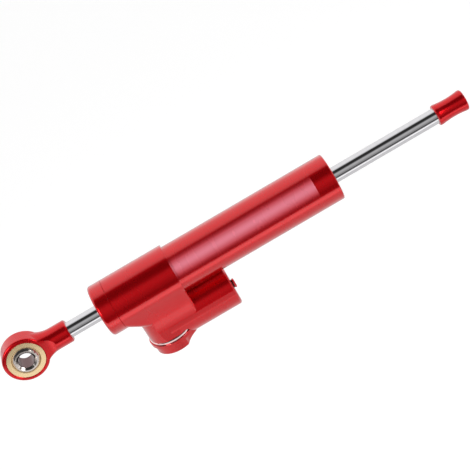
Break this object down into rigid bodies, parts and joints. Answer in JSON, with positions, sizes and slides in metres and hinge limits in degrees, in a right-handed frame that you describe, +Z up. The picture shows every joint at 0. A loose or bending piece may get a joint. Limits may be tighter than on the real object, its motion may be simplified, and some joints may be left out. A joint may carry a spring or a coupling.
{
  "type": "motorcycle steering damper",
  "caption": "Through-rod linear damper with a spherical rod end, a side reservoir and a rotary click adjuster below the tube.",
  "frame": {"origin": "on the rod's axis, in the middle of the length of tube that shows, where the frame clamp grips", "axes": "+X along the rod from the rod end to the end stop, +Z up, the adjuster and reservoir below the tube, +Y along the rod end's bore"},
  "size_m": [0.2542, 0.0266, 0.0484],
  "materials": {
    "red_anodised": "polished, anodised a clear red",
    "bare_aluminium": "machined",
    "chrome": "hard chromed and polished",
    "steel": "machined",
    "brass": "turned",
    "bronze": "bearing bronze, turned",
    "rubber": "matt"
  },
  "bodies": {
    "cylinder": {"outer_tube": "red_anodised", "inner_cylinder": "bare_aluminium", "valve_head": "red_anodised", "front_cap": "red_anodised", "front_cap_o_ring": "rubber", "front_rod_bush": "bronze", "front_rod_seal": "rubber", "front_wiper": "rubber", "rear_gland": "bare_aluminium", "rear_gland_o_ring": "rubber", "rear_rod_bush": "bronze", "rear_rod_seal": "rubber", "rear_wiper": "rubber", "index_plate": "red_anodised", "index_plate_screws": "steel", "stop_pin": "steel", "reservoir_plug": "bare_aluminium", "reservoir_plug_o_ring": "rubber", "filler_screw": "steel", "filler_o_ring": "rubber", "reservoir_spring": "steel"},
    "piston": {"piston": "bare_aluminium", "piston_ring": "bronze"},
    "rod": {"piston_rod": "chrome", "piston_circlips": "steel", "rod_end_body": "red_anodised", "rod_end_race": "brass", "end_stop": "red_anodised"},
    "ball": {"rod_end_ball": "chrome"},
    "adjuster": {"adjuster_knob": "red_anodised", "knob_screw": "steel", "valve_spindle": "brass", "spindle_o_ring": "rubber", "click_ball": "steel", "click_spring": "steel"},
    "floating_piston": {"floating_piston": "bare_aluminium", "floating_piston_o_ring": "rubber"}
  },
  "joints": [
    {"name": "rod_slide", "type": "slide", "parent": "cylinder", "child": "piston", "axis": [1, 0, 0], "range_m": [-0.056, 0.0162]},
    {"name": "rod_turn", "type": "hinge", "parent": "piston", "child": "rod", "pos_m": [0, 0, 0], "axis": [1, 0, 0], "continuous": true},
    {"name": "ball_swivel", "type": "hinge", "parent": "rod", "child": "ball", "pos_m": [-0.12595, 0, 0], "axis": [0, 1, 0], "continuous": true},
    {"name": "adjuster_turn", "type": "hinge", "parent": "cylinder", "child": "adjuster", "pos_m": [-0.0605, 0, 0], "axis": [0, 0, 1], "range_deg": [0, 345]},
    {"name": "float_slide", "type": "slide", "parent": "cylinder", "child": "floating_piston", "axis": [1, 0, 0], "range_m": [-0.003, 0.003], "stiffness_N_per_m": 2400, "deforming": ["reservoir_spring"]}
  ]
}
